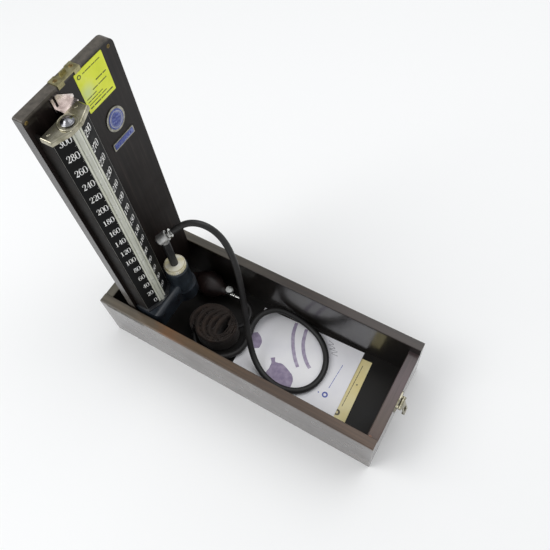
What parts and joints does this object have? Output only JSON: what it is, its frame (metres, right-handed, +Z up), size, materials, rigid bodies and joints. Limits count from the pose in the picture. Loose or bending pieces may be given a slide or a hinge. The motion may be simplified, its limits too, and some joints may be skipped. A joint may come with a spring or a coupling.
{
  "type": "desk mercury sphygmomanometer",
  "caption": "Desk mercury blood pressure monitor in a long wooden case: tray with hose, rolled cuff and bulb, upright lid with a roof-shaped scale column, glass tube and reservoir.",
  "frame": {"origin": "centre of the tray's underside", "axes": "+X towards the tray's far right end with the clasp, +Y towards the rear wall across the tray, +Z up along the open lid"},
  "size_m": [0.393, 0.14, 0.42],
  "materials": {
    "case_wood": "dark stained, worn brown at the rims",
    "tray_inside": "near-black lining paint",
    "lid_wood": "dark stain, satin",
    "steel": "aged nickel plate",
    "brass": "dulled brass screws",
    "enamel": "glossy dark enamel",
    "scale_black": "black enamel with white numerals",
    "backing": "pale grey-green enamel",
    "glass": "clear, slightly aged",
    "mercury": "liquid metal",
    "washer": "old leather-coloured seal",
    "chrome": "polished",
    "ivory": "ivory, knurled",
    "hose_rubber": "black, satin",
    "bulb_rubber": "dark reddish brown",
    "cuff_cloth": "dark woven cotton",
    "paper": "coated white paper",
    "card": "cream card",
    "yellow": "bright yellow sticker",
    "badge": "blue enamel in a silver rim"
  },
  "bodies": {
    "case": {"front_wall": "case_wood", "rear_wall": "case_wood", "left_wall": "case_wood", "right_wall": "case_wood", "floor_board": "tray_inside", "front_pivot_strip": "steel", "rear_pivot_strip": "steel", "front_pivot_pin": "steel", "rear_pivot_pin": "steel", "clasp_base": "steel", "clasp_pin": "steel", "clasp_screws": "brass", "leaflet": "paper", "card": "card", "rolled_cuff": "cuff_cloth", "inflation_bulb": "bulb_rubber", "bulb_air_inlet": "chrome", "release_valve": "chrome", "bulb_tube": "hose_rubber", "air_hose": "hose_rubber"},
    "lid": {"lid_board": "lid_wood", "strike_plate": "steel", "strike_screws": "brass", "lid_corner_screws": "brass", "yellow_label": "yellow", "oval_badge": "badge", "bar_badge": "badge", "hanger_plate": "steel", "column_case": "enamel", "scale_plate_left": "scale_black", "scale_plate_right": "scale_black", "tube_backing": "backing", "glass_tube": "glass", "tube_mercury": "mercury", "tube_washers": "washer", "head_bracket": "steel", "bracket_screws": "steel", "nut_stud": "steel", "iron_foot": "enamel", "foot_strip": "steel", "foot_screws": "steel", "reservoir_pot": "enamel", "reservoir_mercury": "mercury", "reservoir_stem": "enamel", "hose_elbow": "chrome", "elbow_ring": "chrome"},
    "hasp": {"clasp_hasp": "steel"},
    "release_screw_body": {"release_screw": "chrome"},
    "dome_nut_body": {"dome_nut": "chrome"},
    "cap_body": {"reservoir_cap": "ivory"}
  },
  "joints": [
    {"name": "lid_hinge", "type": "hinge", "parent": "case", "child": "lid", "pos_m": [-0.149, 0, 0.08], "axis": [0, 1, 0], "range_deg": [0, 90], "deforming": ["air_hose"]},
    {"name": "clasp_swing", "type": "hinge", "parent": "case", "child": "hasp", "pos_m": [0.1947, 0, 0.058], "axis": [0, -1, 0], "range_deg": [-10, 150]},
    {"name": "release_screw_turn", "type": "hinge", "parent": "case", "child": "release_screw_body", "pos_m": [-0.071, 0.039, 0.033], "axis": [0, 0, 1], "range_deg": [0, 360]},
    {"name": "dome_nut_turn", "type": "hinge", "parent": "lid", "child": "dome_nut_body", "pos_m": [-0.123, -0.031, 0.4015], "axis": [0, 0, 1], "continuous": true},
    {"name": "cap_turn", "type": "hinge", "parent": "lid", "child": "cap_body", "pos_m": [-0.117, 0.006, 0.117], "axis": [0, 0, 1], "continuous": true}
  ]
}
